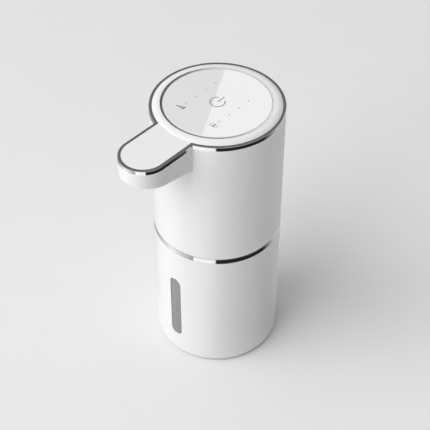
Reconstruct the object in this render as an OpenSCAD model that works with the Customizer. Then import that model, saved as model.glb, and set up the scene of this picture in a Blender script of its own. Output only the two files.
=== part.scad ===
// Automatic soap dispenser: a refill tank under a lift-off pump head with a spout and a touch panel.
// Sizes are in millimetres. The origin is the centre of the base on the floor, +Z is up
// and the spout points along -Y.

/* [Body] */
// Outside diameter of the round body
body_d = 75; // [72:0.5:90]
// Height of the bright trim's upper face above the floor
top_z = 174; // [172:1:200]
// Wall of the upper shell
shell_wall = 2.4; // [2.2:0.1:2.6]
// Wall of the tank sleeve
sleeve_wall = 2; // [1.8:0.1:2.4]
// Height of the head, from its joint with the tank to the trim's upper face
head_h = 87; // [86:1:96]
// Height of the bright band at the joint
band_h = 3.8; // [2.4:0.2:5]
// Thickness of the bright band
band_t = 0.9; // [0.6:0.1:1.2]
// How far the bright band stands out of the body
band_proud = 0.1; // [0:0.05:0.3]

/* [Top] */
// Height of the bright top trim
trim_h = 2.4; // [1.8:0.1:3]
// Width of the trim's upper face
trim_w = 1.75; // [1.6:0.05:2.1]
// Bevel on the trim's outer edge
trim_bevel = 0.2; // [0.15:0.05:0.5]
// Height of the raised ring above the trim
ring_rise = 1.2; // [0.8:0.1:2]
// Diameter of the touch panel
panel_d = 60; // [56:0.2:62]
// Thickness of the touch panel
panel_t = 2; // [1.5:0.1:2.4]
// Height of the touch panel's face above the trim
panel_rise = 1; // [0.6:0.1:1.4]
// Open groove around the touch panel
panel_groove = 1.4; // [1:0.1:1.6]
// Gap between the touch panel and the bright rim in its groove
rim_gap = 0.15; // [0.1:0.05:0.25]
// How far the panel goes down when it is pressed
panel_travel = 0.4; // [0.2:0.05:0.5]

/* [Spout] */
// Width of the spout
spout_w = 27.6; // [26:0.2:32]
// Distance from the body's axis to the tip of the spout
spout_reach = 70.75; // [68:0.05:85]
// Depth of the spout at its tip
spout_tip_depth = 11; // [10.6:0.2:14]
// Depth of the spout where it meets the body
spout_root_depth = 17; // [16:0.5:22]
// Thickness of the spout's floor
spout_floor = 1.8; // [1.4:0.1:2.2]
// Distance from the tip of the spout to the nozzle's axis
nozzle_inset = 12; // [10:0.5:14]
// Diameter of the nozzle
nozzle_d = 8.4; // [7.6:0.2:9.6]
// How far the nozzle stands out under the spout
nozzle_out = 1.5; // [0.5:0.1:3]
// Distance between the nozzle's axis and the sensor
sensor_pitch = 13.4; // [12.6:0.2:15]
// Length of the sensor window
sensor_w = 12; // [10:0.5:13]
// Width of the sensor window
sensor_l = 6; // [5:0.5:7]

/* [Tank] */
// Width of the level window
window_w = 8.2; // [6:0.2:14]
// Height of the level window
window_h = 49; // [30:1:56]
// Height of the level window's centre
window_mid_z = 40; // [36:1:44]
// How far the level window sits back from the body's face
window_set = 0.4; // [0.2:0.05:0.8]
// How far the base pad stands out of the tank
foot_h = 0.8; // [0.5:0.1:1.4]
// Thickness of the base pad
pad_t = 1.6; // [1.4:0.1:2.2]
// Diameter of the base pad
pad_d = 64; // [50:1:66]
// Thickness of the tank sleeve's floor
sleeve_floor = 2; // [1.8:0.1:3]
// Rounding of the base edge
base_round = 2; // [1:0.1:3]
// Wall of the inner bottle
bottle_wall = 1.5; // [1.2:0.1:2]
// Distance between the sleeve's inside and the bottle's neck
neck_set = 4.5; // [4:0.1:6.5]
// Wall of the bottle's neck
neck_wall = 1.8; // [1.7:0.1:2.2]
// How far the neck stands above the joint
neck_rise = 10; // [9.5:0.5:12]
// Height of the neck seal
seal_h = 2.2; // [1.8:0.1:2.6]
// Width of the key that lines the head up
key_w = 4; // [3:0.5:6]

/* [Pump] */
// Module of the pump gears
gear_m = 0.7; // [0.65:0.01:0.75]
// Teeth on each pump gear
gear_n = 12; // [10:2:14]
// Height of the pump gears
gear_h = 5.8; // [5:0.1:7]
// Floor of the pump under the gears
pump_floor = 4; // [3.5:0.5:6]
// Thickness of the pump cover
pump_cover_t = 3; // [2.8:0.1:4]
// Diameter of the motor
motor_d = 24.4; // [23:0.1:26]
// Length of the motor's can
motor_l = 30.8; // [28:0.2:32]
// Diameter of the motor shaft and of the idler pin
shaft_d = 2; // [1.8:0.1:2.2]
// Outside diameter of the intake tube
intake_od = 6.4; // [6:0.2:7]
// Bore of the intake tube
intake_id = 4.4; // [4:0.2:4.8]
// Outside diameter of the outlet hose
hose_od = 5; // [4.6:0.1:5.2]
// Bore of the outlet hose
hose_id = 3; // [2.6:0.1:3.2]
// Bend radius of the outlet hose
hose_bend = 9; // [8:0.5:10]

/* [Power and controls] */
// Diameter of the battery cell
cell_d = 18.3; // [16:0.1:18.5]
// Space between the battery cell and the plugs over it, which sets the cell's length
cell_head_gap = 6.9; // [4.9:0.1:8.9]
// Thickness of the control board
board_t = 1.6; // [1.2:0.1:2]
// Height of the switch on the control board
switch_h = 3.5; // [3:0.1:4]
// Height of the charging socket's axis above the deck
port_rise = 10; // [9:0.5:14]
// Width of the charging port's recess
port_w = 16; // [15:0.5:18]
// Height of the charging port's recess
port_h = 9; // [8:0.5:10]
// Depth of the charging port's recess
port_depth = 1.5; // [1.3:0.1:1.8]
// Width of a lamp column from the middle of the panel
lamp_x = 12; // [11:0.5:14]
// Distance between lamps in a column
lamp_pitch = 8; // [6:0.5:8]

/* [Clearances] */
// Gap between shells that fit one inside the other
shell_gap = 0.2; // [0.1:0.05:0.3]
// Gap around small pieces that fit
fit_gap = 0.1; // [0.06:0.01:0.14]
// Seam between the trim and the top cover
seam_gap = 0.05; // [0.03:0.01:0.1]
// Running gap of a shaft in its bore
run_gap = 0.05; // [0.03:0.01:0.08]
// Gap of a piece that is pressed on
press_gap = 0.02; // [0.01:0.005:0.03]
// Gap between the tank's neck and its socket
slide_gap = 0.4; // [0.3:0.05:0.6]

/* [Hidden] */
$fn = 96;
// Facets of a large circle that trims a small piece
fine_fn = 720;
// Overshoot of a cut past the face that it opens
cut = 1;

// Body and spout outline
body_r = body_d / 2;
shell_in_r = body_r - shell_wall;
sleeve_in_r = body_r - sleeve_wall;
spout_hw = spout_w / 2;
tip_s = spout_reach - spout_hw;
joint_z = top_z - head_h;
trim_z = top_z - trim_h;
shell_z = joint_z + band_h;
root_under_z = top_z - spout_root_depth;
under_slope = (spout_root_depth - spout_tip_depth) / (spout_reach - body_r);
under_angle = atan(under_slope);
floor_rise = spout_floor / cos(under_angle);
function under_z(s) = root_under_z + (s - body_r) * under_slope;

// Bright band and the collar behind it
band_in_r = body_r - band_t;
collar_r = band_in_r - fit_gap;
band_edge = 0.3;
collar_step = 0.3;
collar_z = joint_z + collar_step;

// Top cover, ring and panel
cover_r = body_r - trim_w - seam_gap;
panel_r = panel_d / 2;
well_r = panel_r + panel_groove;
ring_top_z = top_z + ring_rise;
ring_land = 0.5;
crest_r = well_r + ring_land;
ring_toe = 0.1;
ring_run = cover_r - crest_r - ring_toe;
ring_arc_r = (ring_run * ring_run + ring_rise * ring_rise) / (2 * ring_rise);
panel_z = top_z + panel_rise - panel_t;
gasket_t = 0.8;
ledge_z = panel_z - gasket_t;
ledge_t = 1.8;
ledge_under_z = ledge_z - ledge_t;
ledge_lap = 2.4;
ledge_r = panel_r - ledge_lap;
gasket_edge = 0.4;
skirt_r = shell_in_r - shell_gap;
skirt_t = 1.6;
skirt_h = 4;
skirt_z = trim_z - skirt_h;
bead_out = 0.4;
bead_h = 0.8;
bead_z = trim_z - skirt_h / 2 - bead_h / 2;

// Bright rim in the panel's groove
rim_r = well_r - press_gap;
rim_in_r = panel_r + rim_gap;
rim_set = 0.05;
rim_edge = 0.1;

// Panel carrier
carrier_gap = 0.4;
carrier_r = ledge_r - carrier_gap;
carrier_t = 1.6;
carrier_z = panel_z - carrier_t;
hook_w = 5;
hook_t = 1.2;
hook_reach = 0.9;
hook_angles = [90, 225, 315];
hook_z = ledge_under_z - fit_gap - hook_t;
nub_r = 2;

// Control board and what stands on it
board_drop = 5.8;
board_top_z = ledge_under_z - board_drop;
board_z = board_top_z - board_t;
boss_r = 2.5;
boss_lap = 0.6;
boss_at_r = skirt_r - skirt_t - boss_r + boss_lap;
boss_angles = [20, 160, 200, 340];
board_r = skirt_r - skirt_t;
board_screw_bite = 4;
connector_h = 2.8;
connector_z = board_z - connector_h;
plunger_r = 1.7;
plunger_out = 1;
plunger_in = 0.7;
switch_w = 6;
switch_top_z = board_top_z + switch_h;
plunger_top_z = switch_top_z + plunger_out;
lamp_h = 0.8;
lamp_gap = 0.2;
pipe_r = 1;
pipe_gap = 0.5;
pipe_hole_r = pipe_r + pipe_gap;
pipe_z = board_top_z + lamp_h + lamp_gap;
pipe_top_gap = 0.15;
pipe_top_z = panel_z - panel_travel - pipe_top_gap;
guide_w = 3;
guide_t = 1.2;
guide_lift = 0.6;
guide_z = pipe_z + guide_lift;
lamp_ys = [for (i = [-1.5 : 1 : 1.5]) i * lamp_pitch];

// Small self-tapping screws
screw_r = 0.95;
screw_hole_r = screw_r + fit_gap;
screw_head_r = 1.9;
screw_head_h = 1.6;
drive_l = 2.4;
drive_w = 0.5;
drive_depth = 0.8;

// Tank
sleeve_z = foot_h;
bottle_z = sleeve_z + sleeve_floor;
bottle_r = sleeve_in_r - shell_gap;
bottle_in_r = bottle_r - bottle_wall;
bottle_floor_z = bottle_z + bottle_wall;
shoulder_drop = 1.5;
shoulder_z = joint_z - shoulder_drop;
neck_r = sleeve_in_r - neck_set;
neck_in_r = neck_r - neck_wall;
neck_top_z = joint_z + neck_rise;
socket_r = neck_r + slide_gap;
socket_wall = 2;
seal_groove = 0.8;
seal_r = neck_r - seal_groove;
seal_top_margin = 1.2;
seal_z = neck_top_z - seal_top_margin - seal_h - 2 * fit_gap;
key_out = 1.4;
key_h = 4.5;
key_z = shoulder_z;
pad_r = pad_d / 2;

// Deck between tank and head
deck_gap = 0.5;
deck_z = neck_top_z + deck_gap;
deck_t = 2.5;
deck_top_z = deck_z + deck_t;
deck_r = shell_in_r - shell_gap;
socket_lift = 1;
socket_z = joint_z + socket_lift;
post_r = 3.2;
post_h = 12;
rib_t = 1.6;
post_wall_gap = 1.8;
post_at_r = neck_in_r - screw_head_r - post_wall_gap;
post_angles = [60, 120, 240, 300];
post_screw_l = 11;

// Pump
pump_y = 3;
axle_x = gear_m * gear_n / 2;
gear_r = axle_x;
addendum = 0.8;
dedendum = 1.1;
pressure_angle = 20;
gear_tip_r = gear_r + addendum * gear_m;
gear_root_r = gear_r - dedendum * gear_m;
gear_base_r = gear_r * cos(pressure_angle);
backlash = 0.08;
chamber_r = gear_tip_r + fit_gap;
pump_wall = 2;
pump_hx = axle_x + chamber_r + pump_wall;
pump_end = 4;
pump_hy = chamber_r + pump_end;
pump_corner = 2.6;
pump_screw_x = pump_hx - pump_corner;
pump_screw_y = pump_hy - pump_corner;
pump_z = deck_top_z;
chamber_z = pump_z + pump_floor;
gear_end_gap = 0.1;
chamber_h = gear_h + 2 * gear_end_gap;
pump_top_z = chamber_z + chamber_h;
pump_screw_cap = 1;
pump_screw_l = pump_top_z + pump_cover_t - pump_screw_cap - deck_z;
pocket_s = axle_x;
pocket_r = 2.2;
port_bore_r = 1.2;
barb_z = chamber_z + chamber_h / 2;
barb_l = 7;
barb_r = hose_id / 2 - press_gap;
spigot_r = intake_id / 2 - press_gap;
spigot_bore_r = 1.4;
spigot_l = 10;
intake_y = pump_y + pocket_s;

// Motor
motor_r = motor_d / 2;
motor_z = pump_top_z + pump_cover_t;
motor_wall = 0.9;
motor_in_r = motor_r - motor_wall;
motor_top_z = motor_z + motor_l;
nose_r = 3.5;
nose_h = 1.5;
endcap_t = 3;
endcap_in = 2;
endcap_face = 1;
motor_screw_y = 8;
motor_screw_l = 3;
shaft_r = shaft_d / 2;
shaft_sunk = 2.5;
shaft_end_gap = 0.2;
magnet_rise = 6;
magnet_z = motor_z + magnet_rise;
magnet_h = 16;
magnet_t = 2.2;
magnet_r = motor_in_r - run_gap;
armature_gap = 0.5;
armature_r = magnet_r - magnet_t - armature_gap;
terminal_x = 5;
terminal_y = 7;
terminal_h = 3;
terminal_z = motor_top_z + endcap_t;

// Soap path
tube_end_gap = 5;
tube_end_z = bottle_floor_z + tube_end_gap;
tube_top_gap = 0.2;
filter_r = 5;
filter_gap = 1.2;
filter_z = bottle_floor_z + filter_gap;
filter_lap = 5;
hose_r = hose_od / 2;
hose_start_y = pump_y - pump_hy - tube_top_gap;
hose_rise_y = pump_y - pump_hy - barb_l - hose_bend;
nozzle_r = nozzle_d / 2;
nozzle_s = spout_reach - nozzle_inset;
nozzle_flange = 2;
nozzle_lift = 0.3;
nozzle_seat_r = nozzle_r + nozzle_flange;
nozzle_seat_z = under_z(nozzle_s + nozzle_seat_r) + floor_rise + nozzle_lift;
nozzle_tip_z = under_z(nozzle_s) - nozzle_out;
nozzle_flange_t = 1;
nozzle_wall = 1.1;
valve_drop = 0.6;
valve_r = nozzle_r - nozzle_wall;
valve_top_z = nozzle_seat_z - valve_drop;

// Sensor, in a frame that lies on the spout's underside
sensor_s = nozzle_s - sensor_pitch;
lens_lap = 1.2;
lens_flange_t = 0.8;
diode_h = 1.6;
sensor_board_t = 1;
sensor_board_side = 4;
sensor_board_end = 1;
stake_inset = 1.2;
sensor_board_w = sensor_w + 2 * sensor_board_side;
sensor_board_l = sensor_l + 2 * sensor_board_end;
stake_x = sensor_board_w / 2 - stake_inset;
stake_r = 1.1;
stake_pin_r = 0.6;
sensor_under = spout_floor + lens_flange_t + diode_h;
sensor_over = sensor_under + sensor_board_t;
hose_clear = 0.6;
function on_floor_z(s, h) = under_z(s) + h / cos(under_angle);
hose_low_z = on_floor_z(sensor_s + sensor_board_l / 2, sensor_over) + hose_clear + hose_r;
hose_z = ceil(hose_low_z * 10) / 10;
nozzle_top_z = hose_z + hose_r;
hose_end_y = -nozzle_s + nozzle_seat_r + tube_top_gap;
board_hose_gap = 1.5;
board_front = -hose_rise_y - hose_r - board_hose_gap;

// Sensor ribbon, from the sensor board to its connector
ribbon_x = 5;
ribbon_w = 5;
ribbon_t = 0.3;
ribbon_conn_l = 4;
ribbon_conn_h = 1.6;
ribbon_end_s = board_front;
ribbon_end_z = board_top_z + ribbon_conn_h / 2;

// Battery
cell_r = cell_d / 2;
cell_set = 4.2;
cell_y = 4;
cradle_gap = 0.15;
cradle_wall = 1.5;
cradle_floor = 3;
cradle_h = 40;
cradle_r = cell_r + cradle_gap + cradle_wall;
cell_x = cradle_r + cell_set - body_r;
tab_t = 0.3;
tab_w = 5;
cell_z = deck_top_z + cradle_floor + tab_t;
cell_top_z = connector_z - cell_head_gap;
cell_l = cell_top_z - cell_z;
lead_r = 0.6;
lead_off = 1;
lead_x = cell_r + lead_off;
cradle_screw_y = 4.5;
cradle_screw_bite = 2.4;
cradle_screw_l = deck_t + cradle_screw_bite;

// Charging socket, on the back
port_z = deck_top_z + port_rise;
port_floor_y = body_r - port_depth;
port_pad_t = 2;
pad_y = shell_in_r - port_pad_t;
pad_over = 2;
usb_w = 8.94;
usb_h = 3.26;
usb_l = 7.35;
usb_wall = 0.3;
usb_back_t = 0.8;
usb_back_y = port_floor_y - usb_l;
usb_gap = 0.15;
tongue_w = 6.6;
tongue_t = 0.7;
tongue_set = 0.8;
charger_t = 1.2;
charger_top_z = port_z - usb_h / 2;
charger_z = charger_top_z - charger_t;
charger_w = 14;
charger_tail = 6.6;
charger_gap = 0.3;
charger_front_y = usb_back_y - charger_tail;
charger_back_y = pad_y - charger_gap;
charger_screw_x = 4.9;
charger_screw_set = 4.4;
charger_screw_y = usb_back_y - charger_screw_set;
charger_post_r = 2;
charger_screw_l = 5;
charger_screw_gap = 0.5;
charge_lead_x = 2;
charge_lead_set = 5;
charge_lead_y = usb_back_y - charge_lead_set;
cover_gap = 0.2;
hinge_z = port_z - port_h / 2 + cover_gap;
hinge_gap = 0.1;
plug_w = 7.4;
plug_h = 1.8;
plug_in = 0.4;
tab_slot_w = 6;
tab_slot_h = 3.2;
tab_slot_t = 1;
tab_peg_r = 0.9;
tab_peg_l = 1.6;

// The lower half of a disc
module half_disc(r) {
    intersection() {
        circle(r);
        translate([-r, -r]) square([2 * r, r]);
    }
}

// An upright slot outline with round ends
module slot(w, h) {
    square([w, h - w], center = true);
    for (side = [0, 1]) mirror([0, side]) translate([0, (w - h) / 2]) half_disc(w / 2);
}

// A rectangle with round corners
module round_rect(w, h, r) {
    square([w - 2 * r, h], center = true);
    square([w, h - 2 * r], center = true);
    for (x = [-1, 1], y = [-1, 1]) translate([x * (w / 2 - r), y * (h / 2 - r)]) circle(r);
}

// What a round edge leaves of a square corner, with the corner at [r, 0]
module corner_waste(r) {
    difference() {
        square(r);
        translate([0, r]) circle(r);
    }
}

// The spout's outline, from the body's axis to the round tip
module spout_outline(inset) {
    translate([inset - spout_hw, -tip_s]) square([2 * (spout_hw - inset), tip_s]);
    translate([0, -tip_s]) half_disc(spout_hw - inset);
}

// The keyhole outline of body and spout
module keyhole(inset) {
    circle(body_r - inset);
    spout_outline(inset);
}

// A tube between two radii
module tube(r_out, r_in, h) {
    difference() {
        cylinder(r = r_out, h = h);
        translate([0, 0, -cut]) cylinder(r = r_in, h = h + 2 * cut);
    }
}

// Extrudes a side outline, drawn as distance from the axis and height, across the spout
module across(w) {
    rotate([90, 0, -90]) linear_extrude(w, center = true) children();
}

// Extrudes an upright outline along -Y or along +Y
module forward(l) {
    rotate([90, 0, 0]) linear_extrude(l) children();
}
module backward(l) {
    rotate([-90, 0, 0]) linear_extrude(l) children();
}

// The spout's space over its sloping floor, drawn in by inset and raised by lift
module spout_block(inset, lift, block_top_z) {
    far = spout_reach + cut;
    intersection() {
        translate([0, 0, under_z(0)]) linear_extrude(block_top_z - under_z(0)) spout_outline(inset);
        across(spout_w + 2 * cut) polygon([
            [0, under_z(0) + lift], [far, under_z(far) + lift], [far, block_top_z], [0, block_top_z]
        ]);
    }
}

// Puts a piece in the frame of the sensor, with its floor on the spout's underside
module on_spout_floor() {
    translate([0, -sensor_s, under_z(sensor_s)]) rotate([-under_angle, 0, 0]) children();
}

// A screw that goes up from its seat, with the head below
module screw(l) {
    difference() {
        translate([0, 0, -screw_head_h]) cylinder(r = screw_head_r, h = screw_head_h);
        for (turn = [0, 90]) rotate(turn)
            translate([-drive_l / 2, -drive_w / 2, -screw_head_h - cut])
                cube([drive_l, drive_w, cut + drive_depth]);
    }
    cylinder(r = screw_r, h = l);
}

// Places that fasteners and bosses share
module at_posts() {
    for (a = post_angles) rotate(a) translate([post_at_r, 0, 0]) rotate(-a) children();
}
module at_pump_screws() {
    for (x = [-1, 1], y = [-1, 1])
        translate([x * pump_screw_x, pump_y + y * pump_screw_y, 0]) children();
}
module at_motor() {
    translate([axle_x, pump_y, 0]) children();
}
module at_motor_screws() {
    at_motor() for (y = [-1, 1]) translate([0, y * motor_screw_y, 0]) children();
}
module at_cell() {
    translate([cell_x, cell_y, 0]) children();
}
module at_cradle_screws() {
    at_cell() for (y = [-1, 1]) translate([0, y * cradle_screw_y, 0]) children();
}
module at_board_screws() {
    for (a = boss_angles) rotate(a) translate([boss_at_r, 0, 0]) rotate(-a) children();
}
module at_charger_screws() {
    for (x = [-1, 1]) translate([x * charger_screw_x, charger_screw_y, 0]) children();
}
module at_lamps() {
    for (x = [-1, 1], y = lamp_ys) translate([x * lamp_x, y, 0]) children();
}
module at_nozzle() {
    translate([0, -nozzle_s, 0]) children();
}

// Tank

module window_prism(gap) {
    translate([0, 0, window_mid_z]) forward(body_d) slot(window_w - 2 * gap, window_h - 2 * gap);
}

module tank_sleeve() {
    color("white") difference() {
        rotate_extrude() difference() {
            translate([0, sleeve_z]) square([body_r, joint_z - sleeve_z]);
            translate([-cut, bottle_z]) square([sleeve_in_r + cut, joint_z]);
            translate([body_r - base_round, sleeve_z]) corner_waste(base_round);
            translate([-cut, sleeve_z - cut]) square([pad_r + fit_gap + cut, pad_t - foot_h + cut]);
        }
        window_prism(0);
    }
}

module window_lens() {
    color("lightgray") intersection() {
        translate([0, 0, sleeve_z]) tube(body_r - window_set, sleeve_in_r, joint_z);
        window_prism(fit_gap);
    }
}

module tank_bottle() {
    color("gainsboro") {
        difference() {
            union() {
                translate([0, 0, bottle_z]) cylinder(r = bottle_r, h = shoulder_z - bottle_z);
                cylinder(r = neck_r, h = neck_top_z);
                translate([-key_w / 2, neck_r - neck_wall, key_z - cut])
                    cube([key_w, neck_wall + key_out, key_h + cut]);
            }
            translate([0, 0, bottle_floor_z])
                cylinder(r = bottle_in_r, h = shoulder_z - bottle_wall - bottle_floor_z);
            translate([0, 0, bottle_floor_z]) cylinder(r = neck_in_r, h = neck_top_z);
            translate([0, 0, seal_z]) tube(neck_r + cut, seal_r, seal_h + 2 * fit_gap);
            translate([0, 0, -cut]) cylinder(r = body_r, h = bottle_z + cut);
        }
    }
}

module base_pad() {
    color("dimgray") cylinder(r = pad_r, h = pad_t);
}

module neck_seal() {
    seal_out_r = socket_r - run_gap;
    seal_in_r = seal_r + press_gap;
    w = seal_out_r - seal_in_r;
    color("darkslategray") translate([0, 0, seal_z]) rotate_extrude()
        translate([(seal_out_r + seal_in_r) / 2, seal_h / 2]) round_rect(w, seal_h, w / 3);
}

// Head shell and trims

module port_cut() {
    translate([0, port_floor_y, port_z]) backward(port_depth + cut) rotate(90) slot(port_h, port_w);
    translate([0, pad_y - cut, port_z]) backward(shell_wall + port_pad_t + 2 * cut)
        rotate(90) slot(usb_h + 2 * usb_gap, usb_w + 2 * usb_gap);
    translate([-tab_slot_w / 2, body_r - tab_slot_t, hinge_z - tab_slot_h])
        cube([tab_slot_w, tab_slot_t + cut, tab_slot_h]);
    translate([0, body_r - tab_slot_t - tab_peg_l, hinge_z - tab_slot_h / 2]) rotate([-90, 0, 0])
        cylinder(r = tab_peg_r + fit_gap, h = tab_peg_l + cut);
}

module shell_wall_solid() {
    difference() {
        union() {
            translate([0, 0, shell_z]) cylinder(r = body_r, h = trim_z - shell_z);
            translate([0, 0, collar_z]) cylinder(r = collar_r, h = shell_z + cut - collar_z);
            spout_block(0, 0, trim_z);
        }
        translate([0, 0, collar_z - cut]) cylinder(r = shell_in_r, h = trim_z - collar_z + 2 * cut);
        spout_block(shell_wall, floor_rise, trim_z + cut);
        translate([0, 0, bead_z - fit_gap]) cylinder(r = shell_in_r + bead_out, h = bead_h + 2 * fit_gap);
    }
}

module upper_shell() {
    in_wall_r = body_r - shell_wall / 2;
    pad_z = hinge_z - tab_slot_h - pad_over;
    pad_h = port_z + port_h / 2 + pad_over - pad_z;
    pad_w = port_w + 2 * pad_over;
    color("white") difference() {
        union() {
            shell_wall_solid();
            translate([0, 0, deck_top_z]) {
                at_posts() cylinder(r = post_r, h = post_h);
                for (a = post_angles) rotate(a)
                    translate([post_at_r, -rib_t / 2, 0]) cube([in_wall_r - post_at_r, rib_t, post_h]);
            }
            intersection() {
                translate([-pad_w / 2, pad_y, pad_z]) cube([pad_w, body_r, pad_h]);
                cylinder(r = in_wall_r, h = top_z);
            }
            at_nozzle() intersection() {
                cylinder(r = nozzle_seat_r, h = nozzle_seat_z);
                translate([0, nozzle_s, 0]) spout_block(0, 0, trim_z);
            }
            on_spout_floor() for (x = [-1, 1]) translate([x * stake_x, 0, spout_floor / 2]) {
                cylinder(r = stake_r, h = sensor_under - spout_floor / 2);
                cylinder(r = stake_pin_r, h = sensor_over - spout_floor / 2);
            }
        }
        translate([0, 0, deck_top_z - cut]) at_posts()
            cylinder(r = screw_hole_r, h = post_screw_l - deck_t + 2 * cut);
        port_cut();
        at_nozzle() cylinder(r = nozzle_r + fit_gap, h = trim_z);
        on_spout_floor() translate([0, 0, -cut]) linear_extrude(spout_floor + 2 * cut)
            square([sensor_w, sensor_l], center = true);
    }
}

module mid_band() {
    band_r = body_r + band_proud;
    color("silver") translate([0, 0, joint_z]) rotate_extrude()
        translate([(band_r + band_in_r) / 2, band_h / 2])
            round_rect(band_r - band_in_r, band_h, band_edge);
}

module top_trim() {
    b = trim_bevel;
    bevel_z = top_z - b;
    color("silver") difference() {
        union() {
            translate([0, 0, trim_z]) linear_extrude(trim_h - b) keyhole(0);
            translate([0, 0, bevel_z]) {
                cylinder(r1 = body_r, r2 = body_r - b, h = b);
                forward(tip_s) polygon([
                    [-spout_hw, 0], [spout_hw, 0], [spout_hw - b, b], [b - spout_hw, b]
                ]);
                translate([0, -tip_s, 0]) intersection() {
                    cylinder(r1 = spout_hw, r2 = spout_hw - b, h = b);
                    translate([-spout_w, -spout_w, 0]) cube([2 * spout_w, spout_w, b]);
                }
            }
        }
        translate([0, 0, trim_z - cut]) linear_extrude(trim_h + 2 * cut) keyhole(trim_w);
    }
}

module cover_skirt() {
    opening = spout_w - 2 * shell_wall + 2 * shell_gap;
    difference() {
        union() {
            translate([0, 0, skirt_z]) tube(skirt_r, skirt_r - skirt_t, skirt_h + cut);
            translate([0, 0, bead_z]) tube(skirt_r + bead_out - fit_gap, skirt_r - skirt_t / 2, bead_h);
        }
        translate([-opening / 2, -body_d, skirt_z - cut]) cube([opening, body_d, skirt_h + cut]);
    }
}

module top_cover() {
    color("whitesmoke") difference() {
        union() {
            translate([0, 0, trim_z]) linear_extrude(trim_h) keyhole(trim_w + seam_gap);
            rotate_extrude() intersection() {
                translate([crest_r, ring_top_z - ring_arc_r]) circle(ring_arc_r);
                translate([ledge_r, trim_z]) square([cover_r - ledge_r, trim_h + ring_rise + cut]);
            }
            translate([0, 0, ledge_under_z]) cylinder(r = skirt_r - skirt_t / 2, h = trim_z - ledge_under_z);
            cover_skirt();
            translate([0, 0, board_top_z]) at_board_screws()
                cylinder(r = boss_r, h = trim_z - board_top_z);
        }
        translate([0, 0, ledge_z]) cylinder(r = well_r, h = body_r);
        translate([0, 0, skirt_z - cut]) cylinder(r = ledge_r, h = body_r);
        translate([-hose_r - hose_clear, -body_r, skirt_z - cut])
            cube([2 * (hose_r + hose_clear), body_r, hose_z + hose_r + hose_clear / 2 - skirt_z + cut]);
        translate([0, 0, board_top_z - cut]) at_board_screws() cylinder(r = screw_hole_r, h = board_drop);
    }
}

// Deck

module drive_deck() {
    color("lightsteelblue") difference() {
        union() {
            translate([0, 0, deck_z]) cylinder(r = deck_r, h = deck_t);
            translate([0, 0, socket_z]) tube(socket_r + socket_wall, socket_r, deck_z + cut - socket_z);
            at_charger_screws() translate([0, 0, deck_z])
                cylinder(r = charger_post_r, h = charger_z - deck_z);
        }
        translate([-key_w / 2 - slide_gap, 0, socket_z - cut]) cube([
            key_w + 2 * slide_gap,
            neck_r + key_out + slide_gap,
            key_z + key_h + slide_gap - socket_z + cut
        ]);
        translate([0, 0, deck_z - cut]) {
            at_posts() cylinder(r = screw_hole_r, h = deck_t + 2 * cut);
            at_pump_screws() cylinder(r = screw_hole_r, h = deck_t + 2 * cut);
            at_cradle_screws() cylinder(r = screw_hole_r, h = deck_t + 2 * cut);
            translate([0, intake_y, 0]) cylinder(r = spigot_r + fit_gap, h = deck_t + 2 * cut);
        }
        translate([0, 0, charger_z - charger_screw_l]) at_charger_screws()
            cylinder(r = screw_hole_r, h = charger_screw_l + cut);
    }
}

module deck_screws() {
    color("silver") translate([0, 0, deck_z]) at_posts() screw(post_screw_l);
}

// Pump

function roll(r) = sqrt(max(0, pow(r / gear_base_r, 2) - 1));
function flank(r) = roll(r) * 180 / PI - atan(roll(r));
function half_tooth(r) = 90 / gear_n - backlash / gear_r * 180 / PI + flank(gear_r) - flank(r);
flank_radii = [gear_root_r, for (i = [0 : 4]) gear_base_r + (gear_tip_r - gear_base_r) * i / 4];
function polar(r, a) = [r * cos(a), r * sin(a)];

module gear_outline() {
    last = len(flank_radii) - 1;
    polygon([
        for (tooth = [0 : gear_n - 1]) let (mid = tooth * 360 / gear_n) each [
            for (r = flank_radii) polar(r, mid - half_tooth(max(r, gear_base_r))),
            for (i = [last : -1 : 0]) let (r = flank_radii[i])
                polar(r, mid + half_tooth(max(r, gear_base_r)))
        ]
    ]);
}

module pump_gear(bore_r) {
    translate([0, 0, chamber_z + gear_end_gap]) linear_extrude(gear_h) difference() {
        gear_outline();
        circle(bore_r);
    }
}

module pump_drive_gear() {
    color("ivory") at_motor() pump_gear(shaft_r + press_gap);
}

module pump_idler_gear() {
    color("ivory") translate([-axle_x, pump_y, 0]) rotate(180 / gear_n) pump_gear(shaft_r + run_gap);
}

module idler_pin() {
    color("silver") translate([-axle_x, pump_y, chamber_z - shaft_sunk])
        cylinder(r = shaft_r, h = shaft_sunk + chamber_h - gear_end_gap);
}

module pump_block(h) {
    translate([0, pump_y, 0]) linear_extrude(h) round_rect(2 * pump_hx, 2 * pump_hy, pump_corner);
}

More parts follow.
